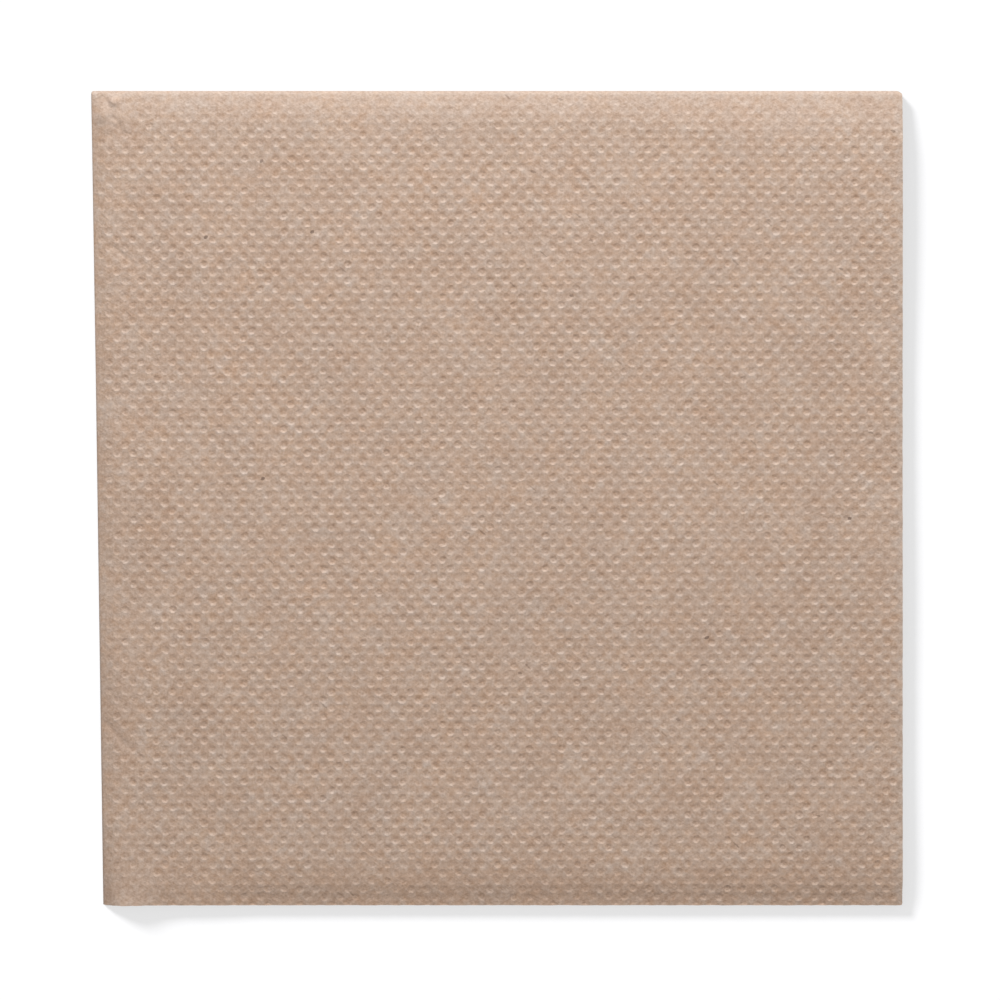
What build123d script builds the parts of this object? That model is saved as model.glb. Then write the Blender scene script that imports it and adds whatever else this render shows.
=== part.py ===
from build123d import *

import os

# Quarter-folded paper napkin, lying flat with its folds along the left and the far edge.
#
# The sheet is folded twice. The first fold doubles it into a pair of layers and runs along the left edge.
# The second fold carries that pair over the far edge, so four layers lie on each other. The closed corner
# is at the far left, and the cut edges are at the right and at the near edge. The upper pair springs up a
# little inside its folds and its near edge, as soft tissue does. The underside lies flat.

# Folded napkin seen from above, in millimetres
folded_width = 119.5
folded_depth = 120.0
lower_fold_lean = 1.7
upper_fold_lean = 2.0
far_corner_radius = 0.7

# Sheet, and the air that its folds keep between the layers
sheet_thickness = 0.25
layer_gap = 0.15
pair_gap = 0.15

# How far the cut edges of the covered layers stand back
inner_layer_setback = 0.4
lower_pair_setback = 0.15

# Spring of the upper pair, drawn through a few sections along its run, and how it rolls down to its left fold
spring_height = 0.5
spring_run = 4.5
spring_sections = 7
left_roll_run = 2.0

# What follows from those sizes
left_edge = -folded_width / 2
right_edge = folded_width / 2
far_edge = folded_depth / 2
near_edge = -folded_depth / 2
inner_right_edge = right_edge - inner_layer_setback
lower_near_edge = near_edge + lower_pair_setback
left_fold_radius = sheet_thickness + layer_gap / 2
pair_thickness = 2 * left_fold_radius
inner_layer_low = pair_thickness - sheet_thickness
far_fold_radius = pair_thickness + pair_gap / 2
far_fold_line = far_edge - far_fold_radius
stack_height = 2 * far_fold_radius
left_fold_start = left_edge + left_fold_radius


def leaned(lean, y):
    """How far a left fold of this lean has come in at y, measured from the far fold."""
    return lean * (far_fold_line - y) / (far_fold_line - near_edge)


def left_fold_section(plane):
    """Half-round section of the first fold, open to the right."""
    with BuildSketch(plane) as section:
        with Locations((left_fold_start, left_fold_radius)):
            Circle(left_fold_radius)
            Circle(layer_gap / 2, mode=Mode.SUBTRACT)
            Rectangle(left_fold_radius, pair_thickness, align=(Align.MIN, Align.CENTER), mode=Mode.SUBTRACT)
    return section.sketch


def pair_section(plane, lean, drop):
    """Section of one pair of layers: the outer layer, the half-round left fold and the inner layer.

    The outer layer is at zero and the inner one beyond it. The left fold is moved on by the drop, and both
    layers roll to it over a short run.
    """
    start = left_fold_start + lean
    turn = start + left_roll_run / 2
    level = start + left_roll_run
    outer_in = sheet_thickness
    inner_in = inner_layer_low
    fold_middle = left_fold_radius + drop
    with BuildSketch(plane) as section:
        with BuildLine():
            Line((right_edge, 0), (level, 0))
            Bezier((level, 0), (turn, 0), (turn, drop), (start, drop))
            ThreePointArc(
                (start, drop),
                (start - left_fold_radius, fold_middle),
                (start, pair_thickness + drop),
            )
            Bezier(
                (start, pair_thickness + drop),
                (turn, pair_thickness + drop),
                (turn, pair_thickness),
                (level, pair_thickness),
            )
            Line((level, pair_thickness), (inner_right_edge, pair_thickness))
            Line((inner_right_edge, pair_thickness), (inner_right_edge, inner_in))
            Line((inner_right_edge, inner_in), (level, inner_in))
            Bezier((level, inner_in), (turn, inner_in), (turn, inner_in + drop), (start, inner_in + drop))
            ThreePointArc(
                (start, inner_in + drop),
                (start - layer_gap / 2, fold_middle),
                (start, outer_in + drop),
            )
            Bezier((start, outer_in + drop), (turn, outer_in + drop), (turn, outer_in), (level, outer_in))
            Line((level, outer_in), (right_edge, outer_in))
            Line((right_edge, outer_in), (right_edge, 0))
        make_face()
    return section.sketch


def upper_section(y, rise_share):
    """Section of the upper pair at y, hung from its top face, which has risen by a share of the spring."""
    rise = spring_height * rise_share
    plane = Plane((0, y, stack_height + rise), x_dir=(1, 0, 0), z_dir=(0, 1, 0))
    return pair_section(plane, leaned(upper_fold_lean, y), rise)


def eased(share):
    """Share of the rise at a share of the run: an S curve, level at both ends."""
    return share**2 * (3 - 2 * share)


with BuildPart() as napkin:
    # Lower pair: two flat layers, and the left fold that joins them
    lower_lean = leaned(lower_fold_lean, lower_near_edge)
    for height, right in ((0, right_edge), (inner_layer_low, inner_right_edge)):
        with BuildSketch(Plane.XY.offset(height)):
            with BuildLine():
                Polyline(
                    (left_fold_start, far_fold_line),
                    (right, far_fold_line),
                    (right, lower_near_edge),
                    (left_fold_start + lower_lean, lower_near_edge),
                    close=True,
                )
            make_face()
        extrude(amount=sheet_thickness)
    fold_plane = Plane((0, far_fold_line, 0), x_dir=(1, 0, 0), z_dir=(0, -1, 0))
    left_fold_run = Vector(lower_lean, lower_near_edge - far_fold_line, 0)
    extrude(left_fold_section(fold_plane), amount=left_fold_run.length, dir=left_fold_run.normalized())

    # Far fold, which turns the whole pair over on itself
    far_fold_axis = Axis((0, far_fold_line, far_fold_radius), (1, 0, 0))
    revolve(pair_section(fold_plane, 0, 0), axis=far_fold_axis, revolution_arc=180)

    # Upper pair: up from the far fold, level, and down again to its cut edge
    far_run = []
    near_run = []
    for step in range(spring_sections):
        run_share = step / (spring_sections - 1)
        far_run.append(upper_section(far_fold_line - spring_run * run_share, eased(run_share)))
        near_run.append(upper_section(near_edge + spring_run * run_share, eased(run_share)))
    loft(far_run)
    loft([far_run[-1], near_run[-1]], ruled=True)
    loft(near_run)

    # Corner where the far fold ends at the cut edge, worn round
    with BuildSketch(Plane.XY):
        with Locations((right_edge, far_edge)):
            Rectangle(2 * far_corner_radius, 2 * far_corner_radius)
        with Locations((right_edge - far_corner_radius, far_edge - far_corner_radius)):
            Circle(far_corner_radius, mode=Mode.SUBTRACT)
    extrude(amount=stack_height + spring_height, mode=Mode.SUBTRACT)

napkin.part.label = "napkin"

os.makedirs("parts", exist_ok=True)
export_step(napkin.part, "parts/napkin.step")
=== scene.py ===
"""Quarter-folded brown tissue napkin on a white table, seen from straight above.

The napkin is one sheet. It is laid out flat as two triangulated faces, the dot emboss is pressed into the
face that ends up outside, and every point is then carried round the two folds to where it lies.
"""

import math
import random

import bpy
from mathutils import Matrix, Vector, noise
from mathutils.geometry import delaunay_2d_cdt
from mathutils.kdtree import KDTree


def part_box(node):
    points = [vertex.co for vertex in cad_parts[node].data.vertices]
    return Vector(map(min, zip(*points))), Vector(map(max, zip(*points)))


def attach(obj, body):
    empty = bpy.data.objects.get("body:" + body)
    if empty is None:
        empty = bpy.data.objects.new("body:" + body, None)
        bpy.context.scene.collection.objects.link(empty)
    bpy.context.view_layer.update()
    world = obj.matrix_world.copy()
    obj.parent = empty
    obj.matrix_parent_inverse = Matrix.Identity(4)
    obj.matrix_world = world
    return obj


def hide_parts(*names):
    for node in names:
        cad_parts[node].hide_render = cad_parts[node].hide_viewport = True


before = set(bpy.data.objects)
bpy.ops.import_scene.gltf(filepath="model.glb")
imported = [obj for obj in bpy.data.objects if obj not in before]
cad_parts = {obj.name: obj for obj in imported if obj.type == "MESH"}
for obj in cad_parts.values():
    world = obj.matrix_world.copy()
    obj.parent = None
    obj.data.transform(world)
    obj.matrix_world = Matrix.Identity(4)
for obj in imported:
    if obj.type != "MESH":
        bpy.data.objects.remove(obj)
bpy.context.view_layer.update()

# Units
MM = 0.001

# Outline of the folded napkin, from the frame
lowest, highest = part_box("napkin")
LEFT, RIGHT = lowest.x, highest.x
NEAR, FAR = lowest.y, highest.y

# Sheet and folds
SHEET_THICKNESS = 0.25 * MM
LAYER_GAP = 0.15 * MM
PAIR_GAP = 0.15 * MM
LOWER_LEAN = 1.7 * MM
UPPER_LEAN = 1.9 * MM
INNER_SETBACK = 0.4 * MM
LOWER_SETBACK = 0.04 * MM
LEFT_RADIUS = SHEET_THICKNESS + LAYER_GAP / 2
PAIR_THICKNESS = 2 * LEFT_RADIUS
FAR_RADIUS = PAIR_THICKNESS + PAIR_GAP / 2
STACK_HEIGHT = 2 * FAR_RADIUS
FOLD_START = LEFT + LEFT_RADIUS
FAR_LINE = FAR - FAR_RADIUS
FULL_ACROSS = RIGHT - FOLD_START
FULL_DOWN = FAR_LINE - NEAR
LEFT_ARC = math.pi / 2 * (LEFT_RADIUS - SHEET_THICKNESS / 2)
FAR_ARC = math.pi / 2 * (FAR_RADIUS - PAIR_THICKNESS / 2)

# Limits of the flat sheet: across the left fold, and across the far fold
OUTER_LIMIT = LEFT_ARC + FULL_ACROSS
INNER_LIMIT = -(LEFT_ARC + FULL_ACROSS - INNER_SETBACK)
UPPER_LIMIT = FAR_ARC + FULL_DOWN
LOWER_LIMIT = -(FAR_ARC + FULL_DOWN - LOWER_SETBACK)

# Spring of the upper pair, and how it rolls down at its edges
SPRING_HEIGHT = 0.5 * MM
FAR_ROLL = 4.5 * MM
FAR_ROLL_MORE = 4 * MM
NEAR_ROLL = 3.5 * MM
NEAR_SAG = 7.5 * MM
NEAR_SAG_SHARE = 0.5
NEAR_OVERHANG = 0.1 * MM
LEFT_ROLL = 3.4 * MM
RIGHT_ROLL = 2.2 * MM
RIGHT_SPRING_SHARE = 0.9
FOLD_PRESS_SHARE = 0.25
FOLD_PRESS_REACH = 1.6 * MM
FOLD_PRESS_FADE = 8 * MM
LOWEST_LIFT_SHARE = -0.6

# How much higher the upper pair swells near the near edge, the far right corner and the near left corner,
# and over which distance from that edge each swell goes down
NEAR_SWELL = 0.2 * MM
NEAR_SWELL_RUN = (9 * MM, 40 * MM)
FAR_SWELL = 0.3 * MM
FAR_SWELL_RUN = (8 * MM, 42 * MM)
CORNER_RISE = 0.55 * MM
CORNER_RISE_RUN = 14 * MM

# Where, from left to right, the near edge starts to roll and to sag, the near left corner ends and the far
# right corner starts
ROLL_STARTS = (LEFT + 5 * MM, LEFT + 12 * MM)
SAG_STARTS = (LEFT + 13 * MM, LEFT + 24 * MM)
CORNER_ENDS = (LEFT + 4 * MM, LEFT + 13 * MM)
RISE_STARTS = (RIGHT - 42 * MM, RIGHT - 15 * MM)

# Waves and crinkles of the upper pair
WAVE_HEIGHT = 0.1 * MM
WAVE_LENGTH = 58 * MM
WAVE_CREST = 43 * MM
WAVE_STARTS = (0, 30 * MM)
DRIFT_HEIGHT = 0.1 * MM
DRIFT_LENGTH = 26 * MM
CRINKLE_HEIGHT = 0.03 * MM
CRINKLE_LENGTH = 2.6 * MM
CRINKLE_FADE = (2 * MM, 12 * MM)

# Plan rounding of the right corners: far, near
FAR_CORNER = 0.82 * MM
NEAR_CORNER = 0.32 * MM

# How far the cut edges are ragged
CUT_ROUGHNESS = 0.05 * MM

# Handling marks on the upper pair, in millimetres: bumps (x, y, half width, half depth, height) and creases
# (from x, y to x, y, half width, height)
BUMPS = (
    (-56.15, 58.45, 0.75, 0.65, 0.24),
    (-57.9, 56.4, 0.95, 1.4, 0.3),
    (-58.5, 55.9, 0.9, 0.6, 0.07),
    (-55.2, 55.85, 0.6, 0.55, 0.09),
    (-57.2, 54.3, 0.9, 0.6, 0.08),
    (-54.5, 54.45, 0.6, 0.55, 0.08),
    (-57.6, -60.3, 0.95, 2.3, -0.34),
    (-54.3, -60.4, 2.2, 1.3, 0.16),
)
CREASES = (
    (-57.4, 59.6, -56.3, 57.75, 0.36, 0.19),
    (-57.6, 59.85, -58.6, 59.3, 0.25, 0.14),
    (-56.9, 56.1, -55.7, 55.35, 0.32, -0.07),
    (-56.9, 55.65, -55.7, 54.8, 0.32, 0.07),
    (-56.6, 37.1, -53.7, 34.8, 0.3, -0.15),
    (-57.8, -32.8, -54.3, -36.7, 0.4, -0.16),
)

# How far a mark reaches, in half widths, how far a crease runs on past its ends while it fades, and the
# height of mark that flattens a dot
MARK_REACH = 3
CREASE_FADE_SHARE = 0.2
FLATTENING_MARK = 0.035 * MM

# Spacing of the points that draw a bump across and along, in millimetres, and a crease along and across
BUMP_STEPS = (0.33, 0.35)
CREASE_STEP = 0.35
CREASE_OFFSETS = (-1.8, -0.9, 0, 0.9, 1.8)

# Dot emboss
DOT_PITCH = 2.332 * MM
DOT_ROW = 1.209 * MM
DOT_START = (-10.34 * MM, 0.55 * MM)
DOT_RIM = (0.67 * MM, 0.64 * MM)
DOT_FLOOR = (0.32 * MM, 0.27 * MM)
DOT_FLOOR_SHIFT = -0.03 * MM
DOT_DEPTH = 0.097 * MM
DOT_LIP = 0.045 * MM
DOT_SIDES = 8
FLOOR_SIDES = 6
FAINTEST_DOT_SHARE = 0.12
UNDERSIDE_DOT_SHARE = 0.7

# How the dots differ: strength, place, size and skew, and how far their rows drift
DOT_STRENGTHS = (0.6, 1.35)
DOT_JITTER = 0.07
DOT_SIZES = (0.9, 1.08)
DOT_SKEW = 0.13
DOT_DRIFT = 0.16 * MM
DOT_DRIFT_LENGTHS = (31 * MM, 27 * MM)
DOT_FAR_DRIFT = 0.25 * MM
DOT_FAR_DRIFT_RUN = 16 * MM

# Share of a dot's strength that is left at the far fold, the left fold, the near edge and the left corners,
# and the reach over which it comes back
FAR_PRESS_SHARE = 0.2
FAR_PRESS_REACH = 11 * MM
LEFT_PRESS_SHARE = 0.5
LEFT_PRESS_REACH = 9 * MM
NEAR_PRESS_SHARE = 0.62
NEAR_RIGHT_PRESS_SHARE = 0.2
NEAR_RIGHT_STARTS = (15 * MM, 45 * MM)
NEAR_PRESS_REACH = (1 * MM, 9 * MM)
FAR_CORNER_PRESS_SHARE = 0.6
FAR_CORNER_PRESS_REACH = (3 * MM, 11 * MM)
NEAR_CORNER_PRESS_SHARE = 0.8
NEAR_CORNER_PRESS_REACH = (4 * MM, 13 * MM)
PRESS_SPREAD = 0.2
PRESS_SPREAD_LENGTH = 7 * MM

# Painted highlight (above zero) or painted shade (below zero) in the top's colour at the edges, and how far in
FAR_PAINTED_HIGHLIGHT = 0.5
FAR_PAINTED_HIGHLIGHT_REACH = (2 * MM, 13 * MM)
RIGHT_PAINTED_HIGHLIGHT = 2
RIGHT_PAINTED_HIGHLIGHT_REACH = 1.6 * MM
NEAR_PAINTED_SHADE = -0.75
NEAR_PAINTED_SHADE_REACH = (3 * MM, 9 * MM)
CORNER_PAINTED_HIGHLIGHT = 0.1
CORNER_PAINTED_HIGHLIGHT_REACH = (8 * MM, 16 * MM)
PAINTED_HIGHLIGHT_CORNER_ENDS = (LEFT + 5 * MM, LEFT + 13 * MM)
# Painted highlight along the far fold and the cut edges, painted shade in the dot floors and how much it grows
# towards their far side
FOLD_PAINTED_HIGHLIGHT = 1.2
CUT_PAINTED_HIGHLIGHT = 1.5
FLOOR_PAINTED_SHADE = 0.35
FLOOR_PAINTED_SHADE_SPREAD = 0.7

# Room kept between the dots and marks and the folds, and between any point and the cut edge
LEFT_MARGIN = 0.5 * MM
UNDERSIDE_LEFT_MARGIN = 0.6 * MM
FAR_MARGIN = 0.2 * MM
MARK_FAR_MARGIN = 0.3 * MM
CUT_MARGIN = 0.08 * MM

# Spacing of the mesh: rows on each half of a fold, points along a fold outside and inside, points along the
# cut edge, and points over the hidden layers across and down (width of the close part, close, wide)
FOLD_ROWS = 4
OUTSIDE_FOLD_STEP = 1.2 * MM
INSIDE_FOLD_STEP = 2.4 * MM
CLOSE_FOLD_WIDTH = 2 * MM
CUT_STEPS = (1 * MM, 0.16 * MM, 0.7 * MM)
HIDDEN_STEPS_ACROSS = (3 * MM, 0.8 * MM, 6 * MM)
HIDDEN_STEPS_DOWN = (5 * MM, 0.8 * MM, 5 * MM)

# Colours of the tissue
TAN = (0.478, 0.306, 0.202, 1)
PALE_TAN = (0.505, 0.378, 0.302, 1)
DARK_TAN = (0.40, 0.268, 0.195, 1)
DARK_FIBRE = (0.2, 0.12, 0.075, 1)
LIGHT_FIBRE = (0.82, 0.68, 0.57, 1)
# Tints for the random pale cloud and for painted shade (more ochre) and painted highlight (paler)
PAINTED_SHADE_TINT = (0.985, 0.937, 0.897, 1)
PAINTED_HIGHLIGHT_TINT = (1.01, 1.058, 1.103, 1)
BARK = (0.12, 0.07, 0.045, 1)

# Table, camera and light
FRAME_WIDTH = 147.6 * MM
LENS = 150.0
SENSOR = 36.0

chance = random.Random(7)


def eased(value, start, end):
    """Share of the way from start to end, as an S curve that is level at both."""
    share = min(max((value - start) / (end - start), 0), 1)
    return share * share * (3 - 2 * share)


def grown(share, rise):
    """A share that grows to 1 as the rise goes from 0 to 1."""
    return share + (1 - share) * rise


def wander(x, y, size, layer=0):
    """Smooth random value from about -1 to 1 that changes over a length of size."""
    return noise.noise(Vector((x / size, y / size, 7.3 * layer + 0.5)))


# Folding


def left_fold(across, inset):
    """Carry a point round the first fold: its distance from the fold, and its height in its pair."""
    if across >= LEFT_ARC:
        return across - LEFT_ARC, inset
    if across <= -LEFT_ARC:
        return -across - LEFT_ARC, PAIR_THICKNESS - inset
    turn = across / LEFT_ARC * math.pi / 2
    radius = LEFT_RADIUS - inset
    return -radius * math.cos(turn), LEFT_RADIUS - radius * math.sin(turn)


def far_fold(down, height):
    """Carry a point round the second fold: where it lies along the napkin, and how high."""
    if down >= FAR_ARC:
        return FAR_LINE - (down - FAR_ARC), STACK_HEIGHT - height
    if down <= -FAR_ARC:
        return FAR_LINE - (-down - FAR_ARC), height
    turn = down / FAR_ARC * math.pi / 2
    radius = FAR_RADIUS - height
    return FAR_LINE + radius * math.cos(turn), FAR_RADIUS + radius * math.sin(turn)


def shoulder(value, reach):
    """Rise from 0 to 1 over a reach, steep at the start and level at the end."""
    share = min(max(value / reach, 0), 1)
    return share * (2 - share)


def fold_lean(y, upper):
    """How far the left fold has come in at y, on the lower pair (0) or the upper one (1)."""
    down = max(FAR_LINE - y, 0)
    lean = LOWER_LEAN + (UPPER_LEAN - LOWER_LEAN) * upper
    return lean * down / FULL_DOWN


def handling(x, y):
    """Height of the bumps and creases at a place."""
    height = 0
    for bump_x, bump_y, wide, deep, tall in BUMPS:
        reach = math.hypot((x / MM - bump_x) / wide, (y / MM - bump_y) / deep)
        if reach < MARK_REACH:
            height += tall * math.exp(-reach * reach)
    for start_x, start_y, end_x, end_y, wide, tall in CREASES:
        run = Vector((end_x - start_x, end_y - start_y))
        offset = Vector((x / MM - start_x, y / MM - start_y))
        along = offset.dot(run) / run.length_squared
        aside = abs(offset.cross(run)) / run.length / wide
        if -CREASE_FADE_SHARE < along < 1 + CREASE_FADE_SHARE and aside < MARK_REACH:
            fade = eased(along, -CREASE_FADE_SHARE, CREASE_FADE_SHARE)
            fade *= eased(1 - along, -CREASE_FADE_SHARE, CREASE_FADE_SHARE)
            height += tall * fade * math.exp(-aside * aside)
    return height * MM


def spring_lift(x, y):
    """How far the upper pair stands up at a place: sprung in the middle, rolled down at its edges.

    It stays up at its near left corner, and rises a little more towards the far right one.
    """
    left = LEFT + fold_lean(y, 1)
    sagged = eased(x, *SAG_STARTS)
    risen = eased(x, *RISE_STARTS)
    rolled = (1 - NEAR_SAG_SHARE) * eased(x, *ROLL_STARTS)
    roll = 1 - rolled * (1 - eased(y - NEAR, -NEAR_OVERHANG, NEAR_ROLL))
    roll -= NEAR_SAG_SHARE * sagged * (1 - eased(y - NEAR, -NEAR_OVERHANG, NEAR_SAG))
    roll *= shoulder(FAR_LINE - y, FAR_ROLL + FAR_ROLL_MORE * risen) * shoulder(x - left, LEFT_ROLL)
    roll *= grown(RIGHT_SPRING_SHARE, shoulder(RIGHT - x, RIGHT_ROLL))
    wave = WAVE_HEIGHT * math.cos((y - WAVE_CREST) / WAVE_LENGTH * 2 * math.pi)
    wave += DRIFT_HEIGHT * wander(x, y, DRIFT_LENGTH) + CRINKLE_HEIGHT * wander(x, y, CRINKLE_LENGTH, 4)
    fine_crinkle = CRINKLE_HEIGHT * (1 - eased(x - left, *CRINKLE_FADE))
    wave += fine_crinkle * wander(x, y, CRINKLE_LENGTH / 2, 5)
    swell = NEAR_SWELL * sagged * (1 - eased(y - NEAR, *NEAR_SWELL_RUN))
    swell += FAR_SWELL * risen * (1 - eased(FAR - y, *FAR_SWELL_RUN))
    swell += CORNER_RISE * (1 - eased(x, *CORNER_ENDS)) * (1 - shoulder(y - NEAR, CORNER_RISE_RUN))
    return roll * (SPRING_HEIGHT + swell + wave * eased(y - NEAR, *WAVE_STARTS))


def rounded(x, y, corner_x, corner_y, radius):
    """Pull a point into the round of a corner of the outline."""
    centre_x = corner_x - math.copysign(radius, corner_x)
    centre_y = corner_y - math.copysign(radius, corner_y)
    out_x = (x - centre_x) * math.copysign(1, corner_x)
    out_y = (y - centre_y) * math.copysign(1, corner_y)
    if out_x <= 0 or out_y <= 0:
        return x, y
    share = max(out_x, out_y) / math.hypot(out_x, out_y)
    return centre_x + (x - centre_x) * share, centre_y + (y - centre_y) * share


def placed(across, down, inset):
    """Where a point of the flat sheet lies on the folded napkin, at a depth below the outside face."""
    from_fold, height = left_fold(across, inset)
    y, z = far_fold(down, height)
    upper = eased(down, -FAR_ARC, FAR_ARC)
    lean = fold_lean(y, upper)
    x = FOLD_START + lean + from_fold * (FULL_ACROSS - lean) / FULL_ACROSS
    press = FOLD_PRESS_SHARE * upper * (1 - eased(from_fold, -LEFT_RADIUS, FOLD_PRESS_REACH))
    press *= eased(FAR_LINE - y, 0, FOLD_PRESS_FADE)
    z -= press * max(z - PAIR_THICKNESS, 0)
    lowest_lift = LOWEST_LIFT_SHARE * max(z - PAIR_THICKNESS, 0)
    z += upper * max(spring_lift(x, y) + handling(x, y), lowest_lift)
    x, y = rounded(x, y, RIGHT, FAR, FAR_CORNER)
    x, y = rounded(x, y, RIGHT, NEAR, NEAR_CORNER)
    return Vector((x, y, z))


def laid_flat(x, y, upper):
    """The flat sheet's point that ends up at (x, y) on an outside layer."""
    lean = fold_lean(y, upper)
    across = LEFT_ARC + (x - FOLD_START - lean) * FULL_ACROSS / (FULL_ACROSS - lean)
    down = FAR_ARC + FAR_LINE - y
    return across, down if upper else -down


# Emboss


def press_share(x, y):
    """How strongly a dot is pressed: flattened towards the folds, the near edge and the left corners."""
    from_left = x - LEFT - fold_lean(y, 1)
    from_far_corner = math.hypot(from_left, FAR - y)
    from_near_corner = math.hypot(from_left, y - NEAR)
    near_share = NEAR_PRESS_SHARE + NEAR_RIGHT_PRESS_SHARE * eased(x, *NEAR_RIGHT_STARTS)
    share = grown(FAR_PRESS_SHARE, shoulder(FAR - y, FAR_PRESS_REACH))
    share *= grown(LEFT_PRESS_SHARE, shoulder(from_left, LEFT_PRESS_REACH))
    share *= grown(near_share, eased(y - NEAR, *NEAR_PRESS_REACH))
    share *= grown(FAR_CORNER_PRESS_SHARE, eased(from_far_corner, *FAR_CORNER_PRESS_REACH))
    share *= grown(NEAR_CORNER_PRESS_SHARE, eased(from_near_corner, *NEAR_CORNER_PRESS_REACH))
    return share * (1 + PRESS_SPREAD * wander(x, y, PRESS_SPREAD_LENGTH, 1))


def painted_edge_light(x, y):
    """How much painted highlight the top's colour gets: at the far fold, the right edge and the near left
    corner.

    Along the rest of the near edge it gets painted shade.
    """
    corner = 1 - eased(x, *PAINTED_HIGHLIGHT_CORNER_ENDS)
    edge_light_share = FAR_PAINTED_HIGHLIGHT * (1 - eased(FAR - y, *FAR_PAINTED_HIGHLIGHT_REACH))
    edge_light_share += RIGHT_PAINTED_HIGHLIGHT * (1 - eased(RIGHT - x, 0, RIGHT_PAINTED_HIGHLIGHT_REACH))
    edge_light_share += NEAR_PAINTED_SHADE * (1 - corner) * (1 - eased(y - NEAR, *NEAR_PAINTED_SHADE_REACH))
    return edge_light_share + CORNER_PAINTED_HIGHLIGHT * corner * (1 - eased(y - NEAR, *CORNER_PAINTED_HIGHLIGHT_REACH))


def dot_places():
    """Centres of the emboss dots over the napkin's outline, in staggered rows."""
    rows = math.ceil((FAR - NEAR) / DOT_ROW)
    columns = math.ceil((RIGHT - LEFT) / DOT_PITCH)
    for row in range(-rows, rows + 1):
        for column in range(-columns, columns + 1):
            x = DOT_START[0] + (column + (row % 2) / 2) * DOT_PITCH
            y = DOT_START[1] + row * DOT_ROW
            x += DOT_DRIFT * wander(x, y, DOT_DRIFT_LENGTHS[0], 2)
            far_drift = DOT_FAR_DRIFT * eased(y, FAR - DOT_FAR_DRIFT_RUN, FAR)
            y += DOT_DRIFT * wander(x, y, DOT_DRIFT_LENGTHS[1], 3) - far_drift
            if LEFT < x < RIGHT and NEAR < y < FAR:
                yield x, y


def ring(radii, size, sides, turn):
    """Points round an oval."""
    for side in range(sides):
        angle = turn + side * 2 * math.pi / sides
        yield size * radii[0] * math.cos(angle), size * radii[1] * math.sin(angle)


class FlatFace:
    """One face of the flat sheet.

    Each point has a depth, the number of the edge it is on, and how much painted highlight (above zero) or
    painted shade (below zero) its colour gets.
    """

    def __init__(self):
        self.points = []
        self.depths = []
        self.edges = []
        self.painted_light_values = []
        self.rows = []

    def keep(self, across, down, depth, edge=0, painted_light=0):
        self.points.append(Vector((across, down)))
        self.depths.append(depth)
        self.edges.append(edge)
        self.painted_light_values.append(painted_light)

    def add(self, across, down, depth, edge=0, painted_light=0):
        """Keep a point if it lies clear inside the sheet's limits."""
        if INNER_LIMIT + CUT_MARGIN < across < OUTER_LIMIT - CUT_MARGIN:
            if LOWER_LIMIT + CUT_MARGIN < down < UPPER_LIMIT - CUT_MARGIN:
                self.keep(across, down, depth, edge, painted_light)

    def add_row(self, places, depth, painted_light):
        """Keep a row of points, joined one to the next."""
        start = len(self.points)
        for across, down in places:
            self.add(across, down, depth, 0, painted_light)
        self.rows += [(i, i + 1) for i in range(start, len(self.points) - 1)]

    def triangulate(self):
        """Join the points by triangles, and put the points in the order the triangles use."""
        scaled = [point / MM for point in self.points]
        points, lines, triangles, origins, *rest = delaunay_2d_cdt(scaled, self.rows, [], 1, 1e-6)
        order = [origin[0] for origin in origins]
        self.points = [self.points[i] for i in order]
        self.depths = [self.depths[i] for i in order]
        self.edges = [self.edges[i] for i in order]
        self.painted_light_values = [self.painted_light_values[i] for i in order]
        return triangles, {first: new for new, origin in enumerate(origins) for first in origin}


def steps(start, end, size):
    """Even steps of about a size from start to end, both included."""
    count = max(1, round(abs(end - start) / size))
    return [start + (end - start) * step / count for step in range(count + 1)]


def reach_steps(limit, arc, roll, close, wide):
    """Steps from a fold out to a cut edge: close together where the sheet rolls, wide apart between."""
    sign = math.copysign(1, limit)
    reach = abs(limit)
    near_fold = steps(arc + close / 2, arc + roll, close)
    middle = steps(arc + roll, reach - roll, wide)
    near_cut = steps(reach - roll, reach - close / 2, close)
    return [sign * step for step in near_fold + middle[1:] + near_cut[1:]]


def full_steps(inner_limit, outer_limit, arc, roll, close, wide):
    """Steps from one cut edge to the other, across a fold."""
    inner = reach_steps(inner_limit, arc, roll, close, wide)
    turns = [arc * turn / FOLD_ROWS for turn in range(-FOLD_ROWS, FOLD_ROWS + 1)]
    return inner[::-1] + turns + reach_steps(outer_limit, arc, roll, close, wide)


def add_folds(face, depth, along):
    """Rows of points round both folds, close enough to turn smoothly, and closer at the closed corner.

    A painted highlight is set in the colour along the far fold.
    """
    all_across = full_steps(INNER_LIMIT, OUTER_LIMIT, LEFT_ARC, CLOSE_FOLD_WIDTH, along / 4, along)
    all_down = full_steps(LOWER_LIMIT, UPPER_LIMIT, FAR_ARC, CLOSE_FOLD_WIDTH, along / 4, along)
    for turn in range(-FOLD_ROWS, FOLD_ROWS + 1):
        face.add_row([(turn / FOLD_ROWS * LEFT_ARC, down) for down in all_down], depth, 0)
        face.add_row([(across, turn / FOLD_ROWS * FAR_ARC) for across in all_across], depth, FOLD_PAINTED_HIGHLIGHT)


def add_plain_layer(face, across_limit, down_limit, depth):
    """Points for a layer, or the back of one, that is hidden inside the folds."""
    for across in reach_steps(across_limit, LEFT_ARC, *HIDDEN_STEPS_ACROSS):
        for down in reach_steps(down_limit, FAR_ARC, *HIDDEN_STEPS_DOWN):
            face.add(across, down, depth)


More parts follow.
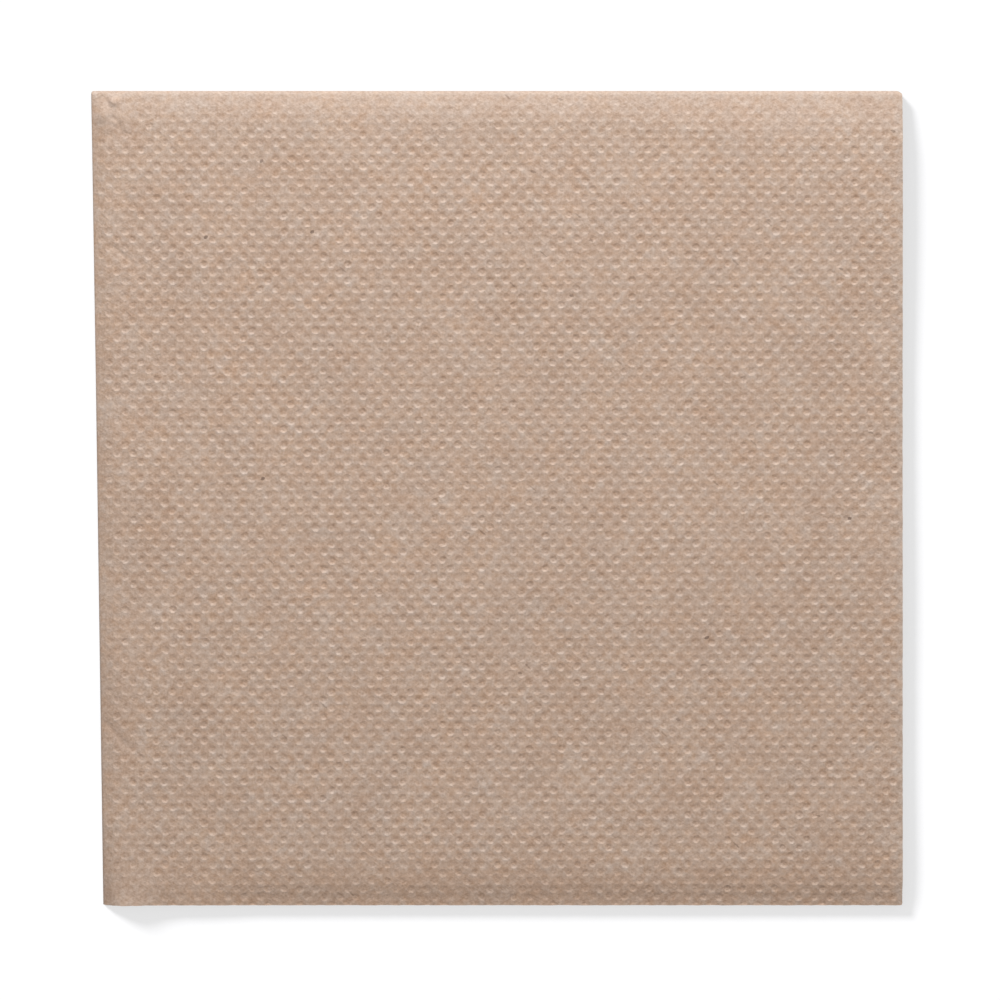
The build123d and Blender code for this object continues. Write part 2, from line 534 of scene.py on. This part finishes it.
def add_top_dots(face):
    """Points of the embossed top: a rim, a floor and the land beside each dot. Handling marks flatten dots."""
    dots = []
    for number, (x, y) in enumerate(dot_places(), 2):
        share = press_share(x, y) * chance.uniform(*DOT_STRENGTHS)
        x += chance.uniform(-DOT_JITTER, DOT_JITTER) * MM
        y += chance.uniform(-DOT_JITTER, DOT_JITTER) * MM
        size = chance.uniform(*DOT_SIZES)
        skew = chance.uniform(-DOT_SKEW, DOT_SKEW)
        if x - LEFT - fold_lean(y, 1) < LEFT_MARGIN or FAR - y < FAR_RADIUS + FAR_MARGIN:
            continue
        edge_light_share = painted_edge_light(x, y)
        if share < FAINTEST_DOT_SHARE or abs(handling(x, y)) > FLATTENING_MARK:
            face.add(*laid_flat(x, y, 1), 0, 0, edge_light_share)
            face.add(*laid_flat(x + DOT_PITCH / 2, y, 1), 0, 0, edge_light_share)
            continue
        for rim_x, rim_y in ring(DOT_RIM, size, DOT_SIDES, math.pi / DOT_SIDES):
            lip = DOT_LIP * share * (0.5 - 0.5 * rim_y / DOT_RIM[1])
            # Painted highlight on the dot's near rim, painted shade on its far rim
            painted_light = edge_light_share - share * rim_y / DOT_RIM[1]
            face.add(*laid_flat(x + rim_x, y + rim_y + skew * rim_x, 1), -lip, number, painted_light)
        for floor_x, floor_y in ring(DOT_FLOOR, size, FLOOR_SIDES, 0):
            # Painted shade on the dot's floor, strongest at its far side, turning to a slight painted
            # highlight at its near side
            painted_light = edge_light_share - share * (FLOOR_PAINTED_SHADE + FLOOR_PAINTED_SHADE_SPREAD * floor_y / DOT_FLOOR[1])
            floor_y += DOT_FLOOR_SHIFT + skew * floor_x
            face.add(*laid_flat(x + floor_x, y + floor_y, 1), DOT_DEPTH * share, -number, painted_light)
        dots.append((x, y, share))
    return dots


def add_underside_dots(face):
    """Points of the embossed underside: the middle of each dot and the land beside it."""
    for x, y in dot_places():
        if x - LEFT - fold_lean(y, 0) < UNDERSIDE_LEFT_MARGIN or FAR - y < FAR_RADIUS + FAR_MARGIN:
            continue
        face.add(*laid_flat(x, y, 0), UNDERSIDE_DOT_SHARE * DOT_DEPTH * press_share(x, y))
        face.add(*laid_flat(x + DOT_PITCH / 2, y, 0), 0)


def add_marked_ground(face, dots):
    """Close points where the handling marks are, clear of the folds and let down into the dots."""
    places = []
    for bump_x, bump_y, wide, deep, tall in BUMPS:
        for x in steps(bump_x - 2 * wide, bump_x + 2 * wide, BUMP_STEPS[0]):
            for y in steps(bump_y - 2 * deep, bump_y + 2 * deep, BUMP_STEPS[1]):
                places.append(Vector((x, y)) * MM)
    for start_x, start_y, end_x, end_y, wide, tall in CREASES:
        start = Vector((start_x, start_y))
        run = Vector((end_x, end_y)) - start
        aside = run.orthogonal().normalized() * wide
        for share in steps(-0.15, 1.15, CREASE_STEP / run.length):
            for offset in CREASE_OFFSETS:
                places.append((start + run * share + aside * offset) * MM)
    nearest = KDTree(len(dots))
    for number, (x, y, share) in enumerate(dots):
        nearest.insert((x, y, 0), number)
    nearest.balance()
    for x, y in places:
        if y < FAR_LINE - MARK_FAR_MARGIN and x - LEFT - fold_lean(y, 1) > LEFT_MARGIN:
            centre, number, distance = nearest.find((x, y, 0))
            pressed = dots[number][2] * (1 - eased(distance, DOT_FLOOR[0], DOT_RIM[0]))
            # Marked ground let down into a dot gets painted shade in its colour
            face.add(*laid_flat(x, y, 1), DOT_DEPTH * pressed, 0, -0.5 * pressed)


def sheet_rim():
    """Points round the cut edge of the flat sheet, in order. The edge is a little ragged."""

    def cut(limit):
        return limit - math.copysign(chance.uniform(0, CUT_ROUGHNESS), limit)

    across = full_steps(INNER_LIMIT, OUTER_LIMIT, LEFT_ARC, *CUT_STEPS)
    down = full_steps(LOWER_LIMIT, UPPER_LIMIT, FAR_ARC, *CUT_STEPS)
    rim = [(INNER_LIMIT, LOWER_LIMIT)] + [(step, cut(LOWER_LIMIT)) for step in across]
    rim += [(OUTER_LIMIT, LOWER_LIMIT)] + [(cut(OUTER_LIMIT), step) for step in down]
    rim += [(OUTER_LIMIT, UPPER_LIMIT)] + [(step, cut(UPPER_LIMIT)) for step in across[::-1]]
    rim += [(INNER_LIMIT, UPPER_LIMIT)] + [(cut(INNER_LIMIT), step) for step in down[::-1]]
    return rim


def folded_napkin():
    """The whole napkin as one closed mesh."""
    rim = sheet_rim()
    outside, inside = FlatFace(), FlatFace()
    for face, depth in ((outside, 0), (inside, SHEET_THICKNESS)):
        for across, down in rim:
            # The cut edges, all but the upper pair's near edge, get a painted highlight in their colour
            face.keep(across, down, depth, 1, CUT_PAINTED_HIGHLIGHT if down < UPPER_LIMIT - MM else 0)
        face.rows += [(i - 1, i) for i in range(1, len(rim))] + [(len(rim) - 1, 0)]
    add_folds(outside, 0, OUTSIDE_FOLD_STEP)
    add_marked_ground(outside, add_top_dots(outside))
    add_underside_dots(outside)
    add_folds(inside, SHEET_THICKNESS, INSIDE_FOLD_STEP)
    for down_limit in (LOWER_LIMIT, UPPER_LIMIT):
        add_plain_layer(outside, INNER_LIMIT, down_limit, 0)
        add_plain_layer(inside, INNER_LIMIT, down_limit, SHEET_THICKNESS)
        add_plain_layer(inside, OUTER_LIMIT, down_limit, SHEET_THICKNESS)

    corners, faces, edges, painted_light_values, rims = [], [], [], [], []
    for face, turn in ((outside, -1), (inside, 1)):
        start = len(corners)
        triangles, moved = face.triangulate()
        corners += [placed(*point, depth) for point, depth in zip(face.points, face.depths)]
        edges += face.edges
        painted_light_values += face.painted_light_values
        faces += [[start + i for i in triangle[::turn]] for triangle in triangles]
        rims.append([start + moved[i] for i in range(len(rim))])
    for i in range(len(rim)):
        faces.append([rims[0][i - 1], rims[0][i], rims[1][i], rims[1][i - 1]])

    mesh = bpy.data.meshes.new("folded_napkin")
    mesh.from_pydata(corners, [], faces)
    mesh.shade_smooth()
    mesh.attributes.new("painted_light", "FLOAT", "POINT").data.foreach_set("value", painted_light_values)
    for line in mesh.edges:
        first, second = line.vertices
        across_cut = edges[first] == 1 and (first < len(outside.points)) != (second < len(outside.points))
        line.use_edge_sharp = edges[first] == edges[second] != 0 and not across_cut
    napkin = bpy.data.objects.new("folded_napkin", mesh)
    bpy.context.scene.collection.objects.link(napkin)
    return napkin


# Finishes


class Value:
    """A number that changes over a surface. Arithmetic on it adds Math nodes."""

    def __init__(self, finish, socket):
        self.finish = finish
        self.socket = socket

    def _math(self, operation, first, second):
        node = self.finish.add("ShaderNodeMath", {"operation": operation}, {0: first, 1: second})
        return Value(self.finish, node.outputs[0])

    def __add__(self, other):
        return self._math("ADD", self, other)

    def __radd__(self, other):
        return self._math("ADD", other, self)

    def __mul__(self, other):
        return self._math("MULTIPLY", self, other)

    def __rmul__(self, other):
        return self._math("MULTIPLY", other, self)

    def __lt__(self, other):
        return self._math("LESS_THAN", self, other)


class Finish:
    """A material and its nodes."""

    def __init__(self, name):
        self.material = bpy.data.materials.new(name)
        self.material.use_nodes = True
        self.tree = self.material.node_tree
        self.tree.nodes.clear()

    def add(self, kind, settings=None, sockets=None):
        """Add a node: its settings first, then the values or links of its sockets."""
        node = self.tree.nodes.new(kind)
        for name, setting in (settings or {}).items():
            setattr(node, name, setting)
        for name, value in (sockets or {}).items():
            socket = node.inputs[name]
            if isinstance(value, Value):
                self.tree.links.new(value.socket, socket)
            else:
                socket.default_value = value
        return node

    def value(self, kind, output, settings=None, sockets=None):
        """Add a node and take one of its outputs."""
        return Value(self, self.add(kind, settings, sockets).outputs[output])

    def mixed(self, share, first, second):
        """Colour between two colours."""
        settings = {"data_type": "RGBA"}
        return self.value("ShaderNodeMix", 2, settings, {0: share, 6: first, 7: second})

    def spread(self, value, low, high):
        """Stretch a value so that low becomes 0 and high becomes 1."""
        settings = {"clamp": True}
        return self.value("ShaderNodeMapRange", 0, settings, {0: value, 1: low, 2: high})

    def output(self, shader):
        self.add("ShaderNodeOutputMaterial", None, {"Surface": shader})
        return self.material


def brown_tissue():
    """Unbleached tissue: mottled tan, short fibres, a few bark specks and a soft felted surface, with painted
    highlight and painted shade from a point attribute.
    """
    finish = Finish("brown_tissue")
    place = finish.value("ShaderNodeTexCoord", "Object")

    def cloud(size, detail=2.0, rough=0.5, at=place):
        sockets = {"Vector": at, "Scale": 1 / size, "Detail": detail, "Roughness": rough}
        return finish.value("ShaderNodeTexNoise", "Fac", None, sockets)

    def stretched(turn, times):
        sockets = {"Vector": place, "Rotation": (0, 0, math.radians(turn)), "Scale": (times, 1, 1)}
        return finish.value("ShaderNodeMapping", "Vector", {"vector_type": "TEXTURE"}, sockets)

    def strands(turn, width, length):
        return cloud(width, 1.0, 0.5, stretched(turn, length / width))

    def flecks(turn, width, times, apart, share):
        sockets = {"Vector": stretched(turn, times), "Scale": 1 / apart}
        cell = finish.add("ShaderNodeTexVoronoi", {"voronoi_dimensions": "2D"}, sockets)
        distance = Value(finish, cell.outputs["Distance"]) + grain * (0.5 * width / apart)
        lot = finish.value("ShaderNodeSeparateColor", "Red", None, {0: Value(finish, cell.outputs["Color"])})
        return (distance < width / apart) * (lot < share)

    tone = finish.spread(cloud(1.3 * MM, 3.0, 0.6), 0.3, 0.7)
    colour = finish.mixed(tone, TAN, PALE_TAN)
    patch = finish.spread(cloud(5.5 * MM, 2.0, 0.5), 0.3, 0.7)
    colour = finish.mixed(patch * 0.5, colour, DARK_TAN)
    fibre = finish.spread(strands(25, 0.24 * MM, 1.4 * MM), 0.25, 0.75)
    fibre = fibre + finish.spread(strands(-38, 0.21 * MM, 1.3 * MM), 0.25, 0.75)
    fibre = (fibre + finish.spread(strands(80, 0.26 * MM, 1.5 * MM), 0.25, 0.75)) * (1 / 3)
    grain = finish.spread(cloud(0.45 * MM, 2.0, 0.6), 0.25, 0.75)
    felt = finish.spread(fibre * 0.5 + grain * 0.5, 0.2, 0.8)
    dark_fibre = finish.mixed(0.3, colour, DARK_FIBRE)
    light_fibre = finish.mixed(0.26, colour, LIGHT_FIBRE)
    colour = finish.mixed(felt, dark_fibre, light_fibre)
    # Painted highlight and painted shade: a point attribute, added to a random pale cloud, tints the colour
    # paler or more ochre
    painted_light = finish.value("ShaderNodeAttribute", "Fac", {"attribute_name": "painted_light"})
    tone_and_painted_light = finish.spread(cloud(3 * MM, 3.0, 0.5), 0.2, 0.8) + painted_light * 0.42
    tone_and_light_tint = finish.mixed(tone_and_painted_light, PAINTED_SHADE_TINT, PAINTED_HIGHLIGHT_TINT)
    colour = finish.value("ShaderNodeVectorMath", 0, {"operation": "MULTIPLY"}, {0: colour, 1: tone_and_light_tint})
    bark = flecks(35, 0.3 * MM, 1.5, 9 * MM, 0.05) * 0.7
    bark = bark + flecks(-20, 0.24 * MM, 2.0, 6 * MM, 0.06) * 0.45
    bark = bark + flecks(-42, 0.16 * MM, 5.0, 4 * MM, 0.16) * 0.35
    colour = finish.mixed(bark, colour, BARK)
    bump = finish.value(
        "ShaderNodeBump", "Normal", None, {"Strength": 0.65, "Distance": 0.06 * MM, "Height": felt}
    )
    shader = finish.value(
        "ShaderNodeBsdfPrincipled",
        "BSDF",
        None,
        {"Base Color": colour, "Roughness": 0.6, "Specular IOR Level": 0.5, "Normal": bump},
    )
    return finish.output(shader)


def white_table():
    """Table that reads white to the camera and still takes the napkin's shadow."""
    finish = Finish("white_table")
    path = finish.add("ShaderNodeLightPath")
    seen = Value(finish, path.outputs["Is Camera Ray"]) + Value(finish, path.outputs["Is Glossy Ray"])
    seen = seen + Value(finish, path.outputs["Is Transmission Ray"])
    diffuse = finish.value("ShaderNodeBsdfDiffuse", 0, None, {"Color": (0.36, 0.36, 0.37, 1)})
    glow = finish.value("ShaderNodeEmission", 0, None, {"Color": (1, 1, 1, 1), "Strength": 0.63})
    dark = finish.value("ShaderNodeEmission", 0, None, {"Color": (0, 0, 0, 1), "Strength": 0.0})
    shown = finish.value("ShaderNodeMixShader", 0, None, {0: seen, 1: dark, 2: glow})
    both = finish.value("ShaderNodeAddShader", 0, None, {0: diffuse, 1: shown})
    return finish.output(both)


napkin = folded_napkin()
napkin.data.materials.append(brown_tissue())
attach(napkin, "root")
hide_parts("napkin")

# Table
bpy.ops.object.select_all(action="DESELECT")
bpy.ops.mesh.primitive_plane_add(size=3.0, location=(0, 0, 0))
table = bpy.context.object
table.name = "table"
table.data.materials.append(white_table())

# Light
world = bpy.data.worlds.new("studio")
bpy.context.scene.world = world
world.use_nodes = True
world.node_tree.nodes["Background"].inputs["Color"].default_value = (1, 1, 1, 1)
world.node_tree.nodes["Background"].inputs["Strength"].default_value = 0.45


def aimed(lamp, position):
    """Put a lamp at a position, turned to the middle of the napkin."""
    lamp.location = position
    lamp.rotation_euler = (-Vector(position)).to_track_quat("-Z", "Y").to_euler()


def lit_only(lamp, piece):
    """Let a lamp light one piece alone, while everything still casts its shadow."""
    group = bpy.data.collections.new(lamp.name + "_lights")
    group.objects.link(piece)
    lamp.light_linking.receiver_collection = group


bpy.ops.object.light_add(type="AREA")
key = bpy.context.object
key.name = "window_light"
key.data.shape = "RECTANGLE"
key.data.size = 0.36
key.data.size_y = 0.15
key.data.energy = 4.52
aimed(key, (0.01, 0.533, 0.377))
lit_only(key, napkin)

bpy.ops.object.light_add(type="SUN")
sun = bpy.context.object
sun.name = "table_light"
sun.data.energy = 4.7
sun.data.angle = math.radians(16)
aimed(sun, (-0.40, 0.44, 0.30))
lit_only(sun, table)

# Camera
camera_data = bpy.data.cameras.new("camera")
camera_data.lens = LENS
camera_data.sensor_width = SENSOR
camera = bpy.data.objects.new("camera", camera_data)
bpy.context.scene.collection.objects.link(camera)
camera.location = (0.48 * MM, -0.3 * MM, FRAME_WIDTH * LENS / SENSOR)
camera.rotation_euler = (0, 0, 0)
bpy.context.scene.camera = camera

bpy.context.scene.view_settings.view_transform = "Standard"
